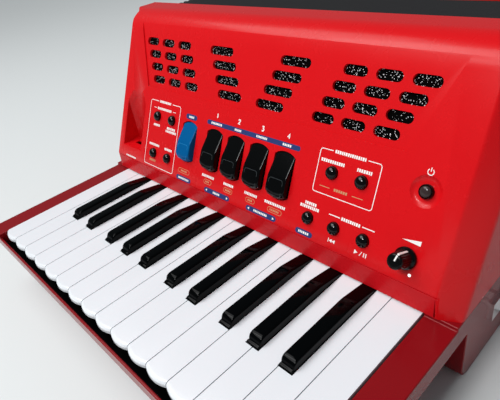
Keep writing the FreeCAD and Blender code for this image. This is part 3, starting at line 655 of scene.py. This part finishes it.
def register_crown():
    """Rows of points over a register key: flat on top, rounded at the sides, bowed at the ends."""
    half, length, bow, crest, drop, count = 8.5, 16.35, 3.0, 0.11, 0.95, 45
    left = [crest * t - 1 for t in (0, 0.01, 0.05, 0.13, 0.25, 0.4, 0.6, 0.8, 1, 1.08)]
    across = left + [-0.6, 0, 0.6] + [-u for u in reversed(left)]
    grid = []
    for j in range(count):
        v = -1 + 2 * j / (count - 1)
        v = math.copysign(1 - (1 - abs(v)) ** 1.25, v)
        row = []
        for u in across:
            y = v * (length - bow * abs(u) ** 2.4)
            side = max(0.0, (abs(u) - 1 + crest) / crest)
            high = register_height(y if v > 0 else v * length)
            row.append((u * half, y, high - drop * (1 - math.sqrt(max(0.0, 1 - side * side)))))
        grid.append(row)
    return grid


def register_key(name, x, material):
    """A rocking key with upright sides, a lighter strip round its pad that is a painted highlight,
    and an arm to its rod.
    """
    grid, under = register_crown(), -7.0
    count, wide = len(grid), len(grid[0])
    verts = [p for row in grid for p in row]
    faces = [(j * wide + i, j * wide + i + 1, (j + 1) * wide + i + 1, (j + 1) * wide + i)
             for j in range(count - 1) for i in range(wide - 1)]
    border = list(range(wide)) + [j * wide + wide - 1 for j in range(1, count)]
    border += [(count - 1) * wide + i for i in range(wide - 2, -1, -1)]
    border += [j * wide for j in range(count - 2, 0, -1)]
    start = len(verts)
    verts += [(verts[i][0], verts[i][1], under) for i in border]
    for k, i in enumerate(border):
        n = (k + 1) % len(border)
        faces.append((i, border[n], start + n, start + k))
    faces.append(tuple(range(start, start + len(border))))
    place = on_panel(x, REGISTER_UP)
    give(add_object("Key" + name, verts, faces, material, place, 50), name, name)

    # Painted highlight: a lighter strip laid just over the pad's outline.
    pad, lift = -7.9, 0.06
    inner, outer = bar_outline(12.0, 11.6, 1.8, 6, 0, pad), bar_outline(12.7, 12.3, 2.1, 6, 0, pad)
    ring = [(px, py, register_height(py) + lift) for px, py in inner + outer]
    count = len(inner)
    faces = [(i, (i + 1) % count, count + (i + 1) % count, count + i) for i in range(count)]
    # The strip's material is the painted highlight, in blue for the blue key.
    ridge = BLUE_PAD_HIGHLIGHT if material is BLUE else PAD_HIGHLIGHT
    give(add_object("PadHighlight" + name, ring, faces, ridge, place), name)

    give(block("Arm" + name, (-4, 14, under), (4, 20.5, -3.8), SATIN, place), name)
    rod = place @ Matrix.Translation((0, 22.35, -5.3)) @ ALONG_X
    barrel = turned("Barrel" + name, [(2.1, -4), (2.1, 4)], SATIN, rod, 24)
    carve(barrel, [turned("Bore", [(SMALL_BORE, -6), (SMALL_BORE, 6)], SATIN, rod, 24)])
    give(barrel, name)


def dome(radius, rise, steps=10):
    return [(radius * math.cos(math.pi / 2 * i / steps), rise * math.sin(math.pi / 2 * i / steps))
            for i in range(steps)] + [(0.02, rise)]


def push_button(name, where, material, rise=3.6, radius=4.1):
    """A domed button with a flange behind the panel."""
    flange, low, high = radius + 1.2, -6, -3.2
    profile = [(flange, low), (flange, high), (radius, high), (radius, 0)]
    profile += [(r, rise * 0.3 + z) for r, z in dome(radius, rise * 0.7)]
    give(turned("Cap" + name, profile, material, on_panel(*where), 48, 40), name, name)


def knob():
    """The volume knob: a skirt, a fluted grip and a white pointer."""
    flutes, depth, pointer = 22, 0.16, math.radians(-15)

    def flute(angle, radius, height):
        return depth * math.cos(flutes * angle) if 3.6 < height < 12.9 and radius > 4.2 else 0.0

    profile = [(2.9, -8), (2.9, 0.5), (6.3, 0.5), (6.6, 0.9), (6.6, 1.7), (6.2, 2.4), (5.6, 2.9),
               (5.15, 3.5), (4.95, 3.9), (4.75, 8.5), (4.6, 12.4), (4.45, 13.1), (4.1, 13.6),
               (3.5, 13.85), (2.8, 13.9), (0.05, 13.9)]
    body = turned("KnobBody", profile, GRIP, on_panel(*KNOB), flutes * 6, 40, flute)
    give(body, "volume_knob", "volume_knob")
    aim = on_panel(*KNOB) @ Matrix.Rotation(pointer, 4, "Z")
    for name, low, high in (("KnobPointer", (-0.45, 0.6, 13.8), (0.45, 4.2, 14.0)),
                            ("KnobPointerSide", (-0.6, 4.3, 2.95), (0.6, 5.2, 13.4))):
        give(block(name, low, high, INK["white"], aim), "volume_knob")


def controls():
    for name, x in REGISTERS.items():
        register_key(name, x, BLUE if name == "set_register_key" else ROCKER)
    for name, where in BUTTONS.items():
        push_button(name, where, CAP)
    push_button("power_button", POWER, SMOKE, 2.1, 3.2)
    section = [(3.45, -1.4), (3.45, 0.5), (3.6, 0.75), (3.85, 0.75), (4.1, 0.3), (4.1, -1.4)]
    give(hoop("PowerRing", section, CAP, on_panel(*POWER)), "treble")
    knob()


# ---------------------------------------------------------------- print on the panel


class Print:
    """Flat ink on a face, gathered by colour and written as one object each."""

    LIFT, OVER = 0.05, 0.08

    def __init__(self, place):
        self.place, self.ink = place, {}

    def patch(self, color, points):
        """A filled convex outline; white lies over the coloured bars."""
        verts, faces = self.ink.setdefault(color, ([], []))
        start = len(verts)
        lift = self.LIFT if color in ("navy", "tan") else self.OVER
        verts.extend((x, y, lift) for x, y in points)
        faces.append(tuple(range(start, len(verts))))

    def line(self, color, points, width=0.55, closed=False):
        """A stroke of even width along points."""
        verts, faces = self.ink.setdefault(color, ([], []))
        start, count = len(verts), len(points)
        for i, (x, y) in enumerate(points):
            before = points[i - 1] if closed or i > 0 else points[i]
            after = points[(i + 1) % count] if closed or i < count - 1 else points[i]
            dx, dy = after[0] - before[0], after[1] - before[1]
            size = math.hypot(dx, dy) or 1.0
            nx, ny = -dy / size * width / 2, dx / size * width / 2
            verts.extend([(x + nx, y + ny, self.LIFT), (x - nx, y - ny, self.LIFT)])
        for i in range(count if closed else count - 1):
            a, b = start + 2 * i, start + 2 * ((i + 1) % count)
            faces.append((a, b, b + 1, a + 1))

    def word(self, color, x, y, length, height=2.0):
        """A stand-in for a word: a run of small plain blocks."""
        at, end = x - length / 2, x + length / 2
        low, high, gap = y - height / 2, y + height / 2, 0.42
        while at < end - 0.6:
            wide = min(random.choice((0.9, 1.15, 1.3)), end - at)
            self.patch(color, [(at, low), (at + wide, low), (at + wide, high), (at, high)])
            at += wide + gap

    def pill(self, color, x, y, length, height):
        self.patch(color, bar_outline(length, height, height / 2 - 0.01, 6, x, y))

    def ring(self, color, x, y, length, height):
        self.line(color, bar_outline(length, height, height / 2 - 0.01, 6, x, y), 0.35, closed=True)

    def arrow(self, color, x, y, size, way):
        """A solid arrowhead; way is 1 for one that points right and -1 for left."""
        tail, tip = x - way * size / 2, x + way * size / 2
        self.patch(color, [(tail, y + size * 0.55), (tail, y - size * 0.55), (tip, y)])

    def write(self, body, name):
        for color, (verts, faces) in self.ink.items():
            made = add_object(f"{name}_{color}", verts, faces, INK[color], self.place, smooth=False)
            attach(made, body)


# The strokes of the four plain digits over the register keys.
DIGITS = {
    1: [(-0.9, 1.5), (0.1, 2.3), (0.1, -2.3)],
    2: [(-1.3, 1.2), (-0.9, 2.0), (0.0, 2.3), (0.9, 2.0), (1.2, 1.2), (0.8, 0.2),
        (-1.3, -2.2), (1.4, -2.2)],
    3: [(-1.2, 2.2), (1.2, 2.2), (-0.1, 0.5), (0.8, 0.3), (1.3, -0.7), (0.9, -1.9),
        (0.0, -2.3), (-1.3, -1.9)],
    4: [(0.6, -2.3), (0.6, 2.3), (-1.5, -0.9), (1.5, -0.9)],
}


def frame_outline(ink, left, right, low, high, gap):
    """A rounded outline whose top line leaves a gap for a heading."""
    middle = (left + right) / 2
    points = bar_outline(right - left, high - low, 1.8, 6, middle, (low + high) / 2)
    turn = len(points) // 4
    start, end = (middle - gap / 2, high), (middle + gap / 2, high)
    ink.line("white", [start] + points[turn:] + points[:turn] + [end], 0.5)


def words(ink, color, rows):
    """Several stand-ins for words, each as x, y, length and then a height if it isn't the usual."""
    for row in rows:
        ink.word(color, *row)


def dashes(ink, x, y, near, far, width):
    """A short dash on each side of a heading."""
    for side in (-1, 1):
        ink.line("white", [(x + side * near, y), (x + side * far, y)], width)


def left_print(ink):
    """The framed block of four buttons at the low end of the panel."""
    frame_outline(ink, -118.5, -75.0, 1.7, 58.9, 20)
    ink.word("white", -96.8, 58.9, 17)
    dashes(ink, -97, 52.9, 12, 16, 0.4)
    words(ink, "white", [(-97, 52.9, 21), (-106, 38.2, 9), (-84.5, 38.4, 12), (-84.5, 35.8, 15),
                         (-106, 20.6, 15), (-84.8, 20.4, 11)])
    ink.word("tan", -106, 6.6, 9)
    ink.word("white", -141, 1.2, 17, 1.5)


def right_print(ink):
    """The framed pair of buttons at the high end of the panel."""
    frame_outline(ink, 71.6, 115.2, 31.5, 59.2, 25)
    words(ink, "white", [(93.4, 59.2, 22), (82.5, 52.4, 18), (105.5, 52.4, 11)])
    for near, far in ((76.2, 84.0), (100.5, 108.2)):
        ink.line("tan", [(near, 36.2), (far, 36.2)], 0.45)
    ink.word("tan", 92.3, 36.2, 10, 1.7)


def register_print(ink):
    """What stands over and under the register keys."""
    ink.patch("navy", bar_outline(95.2, 3.5, 1.7, 6, 8.1, 54.2))
    # For each key: the length of the word over it, the word under it, the ring, and its word.
    lengths = {"register_key_1": (12.5, 14.5, 9, 5), "register_key_2": (7.5, 11.0, 9.5, 6),
               "register_key_3": (10.5, 13.0, 9, 5), "register_key_4": (8.5, 20.0, 13, 9)}
    for number, (name, (over, under, ring, inner)) in enumerate(lengths.items(), start=1):
        x = REGISTERS[name]
        ink.line("white", [(x + 0.7 * px, 60.4 + 0.7 * py) for px, py in DIGITS[number]], 0.95)
        ink.word("white", x + 0.2, 54.2, over, 1.6)
        ink.word("white", x - 0.4, 12.4, under)
        ink.ring("tan", x, 8.0, ring, 3.4)
        ink.word("tan", x, 8.0, inner, 1.4)
    ink.pill("navy", -59.4, 53.6, 14.2, 4.2)
    ink.word("white", -59.4, 53.6, 6.5, 1.7)
    ink.ring("tan", -59.6, 8.4, 14.5, 3.6)
    ink.word("tan", -59.6, 8.4, 8, 1.4)
    for x, y, length, inner, arrows in ((-59.0, 2.1, 19.6, 14, False), (-16.2, 1.9, 29.8, 8, True),
                                        (32.0, 2.4, 29.9, 14, True), (71.9, 2.5, 14.1, 9, False)):
        ink.pill("navy", x, y, length, 3.9)
        ink.word("white", x, y, inner, 1.6)
        if arrows:
            ink.arrow("white", x - length / 2 + 2.6, y, 1.8, -1)
            ink.arrow("white", x + length / 2 - 2.6, y, 1.8, 1)


def player_print(ink):
    """The words and transport marks round the three player buttons."""
    dashes(ink, 104.2, 20.8, 8, 16.4, 0.6)
    words(ink, "white", [(104.2, 20.8, 14), (72.8, 22.6, 9), (72.8, 20.0, 16)])
    ink.line("white", [(91.4, 6.3), (91.4, 3.7)], 0.5)
    ink.arrow("white", 93.0, 5.0, 2.2, -1)
    ink.arrow("white", 95.2, 5.0, 2.2, -1)
    ink.arrow("white", 112.0, 5.0, 2.4, 1)
    ink.line("white", [(114.6, 3.7), (115.9, 6.4)], 0.4)
    for x in (117.4, 118.9):
        ink.line("white", [(x, 6.3), (x, 3.7)], 0.6)


def power_print(ink):
    """The power mark, the volume wedge, and the small lamp below the knob."""
    arc = arc_points((143.0, 62.6), 1.7, math.radians(125), math.radians(415), 20)
    ink.line("white", arc, 0.45)
    ink.line("white", [(143.0, 62.8), (143.0, 65.0)], 0.45)
    ink.patch("white", [(137.5, 23.3), (148.5, 22.6), (148.5, 25.4)])
    ink.patch("lamp", bar_outline(1.9, 1.9, 0.94, 6, 146.9, 5.1))


def panel_print():
    ink = Print(PANEL)
    for part in (left_print, right_print, register_print, player_print, power_print):
        part(ink)
    ink.write("treble", "PanelPrint")


def grille_cloth():
    cloth = block("GrilleCloth", (-151, 72, -3.55), (151, 118, -3.1), CLOTH, PANEL)
    give(cloth, "treble", "treble_grille_cloth")


# ---------------------------------------------------------------- bellows and bass end


def bellows():
    """Ten sharp pleats round a rectangular loop."""
    folds, rings = 10, []
    low, high, half, gap = 5.0, TOP - 5, HALF - 6, 0.3
    ridge, valley, end = 0.4, 14.0, 6.0
    for i in range(2 * folds + 1):
        y = BELLOWS_Y + gap + (BASS_Y - BELLOWS_Y - 2 * gap) * i / (2 * folds)
        depth = end if i in (0, 2 * folds) else ridge if i % 2 else valley
        loop = (2 * (half - depth), high - low - 2 * depth)
        ring = bar_outline(*loop, 6, 4, 0, (low + high) / 2)
        rings.append([(x, y, z) for x, z in ring])
    pleats = add_object("BellowsPleats", *skin(rings), PLEAT, sharp=20)
    thick = pleats.modifiers.new("Thickness", "SOLIDIFY")
    thick.thickness = 0.7 * MM
    thick.offset = -1
    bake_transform(pleats)
    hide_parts("bellows")


def bass_profile(inset):
    """The bass case's side outline in (y, z)."""
    rise = Vector((math.cos(BOARD_TILT), math.sin(BOARD_TILT)))
    normal = Vector((math.sin(BOARD_TILT), -math.cos(BOARD_TILT)))
    climb = (TOP - SHOULDER - BOARD_FOOT + normal.y * SHOULDER) / rise.y
    centre = Vector((BASS_END, BOARD_FOOT)) + rise * climb - normal * SHOULDER
    start = math.atan2(normal.y, normal.x)
    crown = arc_points(centre, SHOULDER - inset, start, math.pi / 2, ARC_STEPS)
    knee = BOARD_FOOT - inset * (1 - normal.x) / normal.y
    near, far = BASS_Y + inset, BASS_END - inset
    return [(near, inset), (far, inset), (far, knee)] + crown + [(near, TOP - inset)]


def bass_case():
    def body(name, half, inset):
        rings = [[(x, y, z) for y, z in bass_profile(inset)] for x in (-half, half)]
        return lofted(name, rings, RED)

    case = body("BassCase", HALF, 0.0)
    carve(case, [body("Hollow", HALF - WALL, WALL),
                 joined("Holes", board_row("Hole", [(4.4, -8), (4.4, 4)], RED))])
    round_edges(case, 0.8)
    give(case, "bass", "bass_case")


def board_row(name, profile, material, sharp=SHARP):
    """One turned shape at each of the 72 button places: 12 slanting columns of 6."""
    column_step, row_step, slant, lowest = 18.5, 11.5, 1.8, 9
    made = []
    for column in range(12):
        for row in range(6):
            x = (column - 5.5) * column_step + (row - 2.5) * slant
            place = BOARD @ Matrix.Translation((x, lowest + row * row_step, 0))
            made.append(turned(name, profile, material, place, 24, sharp))
    return made


def bass_buttons():
    profile = [(4.8, -6), (4.8, -5), (4.0, -5), (4.0, 3.6), (3.9, 4.2), (3.6, 4.65), (3.0, 4.9),
               (0.02, 5.0)]
    caps = board_row("Cap", profile, BASS_CAP, 40)
    give(joined("BassButtonCaps", caps), "bass_button_set", "bass_buttons")


def strap():
    """The hand strap with its stitching, bowed out from its two anchors."""
    reach, anchor, crown, width, thick, middle = 148.0, 3.2, 188.4, 52, 3.0, 48
    sag = crown - thick - (BASS_END + anchor)
    radius = (reach ** 2 + sag ** 2) / (2 * sag)

    def outer(x):
        return math.sqrt(radius ** 2 - x ** 2) - radius + crown

    rings, pieces = [], 40
    for i in range(pieces + 1):
        x = -reach + 2 * reach * i / pieces
        ring = bar_outline(width, thick, 1.2, 4, middle, outer(x) - thick / 2)
        rings.append([(x, y, z) for z, y in ring])
    give(lofted("HandStrapBand", rings, HIDE, sharp=50), "bass", "hand_strap")

    threads, stitches, sewn = [], 64, 140
    for z in (middle - 22.5, middle + 22.5):
        for i in range(stitches):
            x = -sewn + 2 * sewn * i / (stitches - 1)
            low, high = (x - 1.4, outer(x) - 0.2, z - 0.3), (x + 1.4, outer(x) + 0.08, z + 0.3)
            threads.append(block("Stitch", low, high, INK["thread"]))
    give(joined("HandStrapStitches", threads), "bass")

    anchors = []
    for x in (7 - reach, reach - 7):
        low, high = (x - 6, BASS_END, middle - 29), (x + 6, BASS_END + anchor, middle + 29)
        anchors.append(block("StrapAnchor", low, high, SATIN))
    give(round_edges(joined("StrapAnchors", anchors), 0.6), "bass", "strap_anchors")


def small_fittings():
    """The straps that hold the bellows shut, each with a chrome stud on a leather washer."""
    ties, studs = [], []
    low, high, reach, stud_y, stud_z = 60, 82, 18, BELLOWS_Y - 9, 71
    stud = [(4.4, 0), (4.2, 0.5), (3.0, 0.85), (0.02, 0.95)]
    for side in (-1, 1):
        x = side * (HALF + 1.3)
        near, far = (x - 1, BELLOWS_Y - reach, low), (x + 1, BASS_Y + reach, high)
        ties.append(block("Tie", near, far, HIDE))
        outward = Matrix.Rotation(side * math.pi / 2, 4, "Y")
        for name, shift, profile, look in (("Stud", 0.9, stud, CHROME),
                                           ("Pad", -1.3, [(5, 0), (5, 0.6)], HIDE)):
            place = Matrix.Translation((x + side * shift, stud_y, stud_z)) @ outward
            studs.append(turned(name, profile, look, place, 32))
    give(round_edges(joined("BellowsTies", ties), 0.5), "treble", "bellows_straps")
    give(joined("BellowsTieStuds", studs), "treble")


def finish_solids():
    """Materials for the solids that are shown as they are."""
    looks = {"memory_pocket": RED, "control_board": GREEN, "speakers": SATIN,
             "key_pivot_rod": STEEL, "key_pivot_frame": SATIN, "key_stop_felts": FELT,
             "key_springs": STEEL, "register_pivot_rod": STEEL, "shoulder_strap_lugs": CHROME}
    for name, look in looks.items():
        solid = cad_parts[name]
        solid.data.materials.clear()
        solid.data.materials.append(look)


# ---------------------------------------------------------------- light, floor and camera


def lamp(name, size, power, where, aim):
    """A rectangular light that faces a point; places are in metres."""
    data = bpy.data.lights.new(name, "AREA")
    data.shape = "RECTANGLE"
    data.size, data.size_y = size
    data.energy = power
    made = bpy.data.objects.new(name, data)
    made.location = where
    made.rotation_euler = (Vector(aim) - Vector(where)).to_track_quat("-Z", "Y").to_euler()
    bpy.context.collection.objects.link(made)


def studio():
    """A pale floor under a dim sky, a soft sun and two area lights."""
    far, low = 9000, -0.2
    corners = [(-far, -far, low), (far, -far, low), (far, far, low), (-far, far, low)]
    floor = add_object("Floor", corners, [(0, 1, 2, 3)], FLOOR, smooth=False)
    world = bpy.data.worlds.new("Studio")
    world.use_nodes = True
    sky = world.node_tree.nodes["Background"].inputs
    sky["Color"].default_value = (0.85, 0.95, 1.0, 1)
    sky["Strength"].default_value = 0.18
    bpy.context.scene.world = world
    sun = bpy.data.lights.new("SoftSun", "SUN")
    sun.energy, sun.angle = 1.5, math.radians(36)
    made = bpy.data.objects.new("SoftSun", sun)
    made.rotation_euler = Vector((-0.34, -0.42, 0.84)).to_track_quat("Z", "Y").to_euler()
    bpy.context.collection.objects.link(made)
    lamp("KeyLight", size=(0.8, 0.8), power=6.5,
         where=(-0.8, -0.3, 1.35), aim=(-0.15, -0.08, 0.08))
    lamp("FrontLight", size=(0.3, 0.2), power=7.4,
         where=(0.12, -0.92, 1.03), aim=(-0.05, -0.05, 0.1))


def camera():
    """Looks down over the keys from the player's right, tipped a little to one side."""
    where, lens, sensor = (0.24457, -0.23744, 0.26367), 34.135, 36
    heading, dip, roll = math.radians(50.971), math.radians(32.3), math.radians(-9.91)
    data = bpy.data.cameras.new("Camera")
    data.lens, data.sensor_width = lens, sensor
    data.clip_start = 0.01
    made = bpy.data.objects.new("Camera", data)
    level = Matrix.Rotation(heading, 4, "Z") @ Matrix.Rotation(math.pi / 2 - dip, 4, "X")
    made.matrix_world = Matrix.Translation(where) @ level @ Matrix.Rotation(roll, 4, "Z")
    bpy.context.collection.objects.link(made)
    bpy.context.scene.camera = made


treble_cover()
treble_base()
keys()
controls()
panel_print()
grille_cloth()
bellows()
bass_case()
bass_buttons()
strap()
small_fittings()
finish_solids()
studio()
camera()
bpy.context.scene.view_settings.view_transform = "Standard"
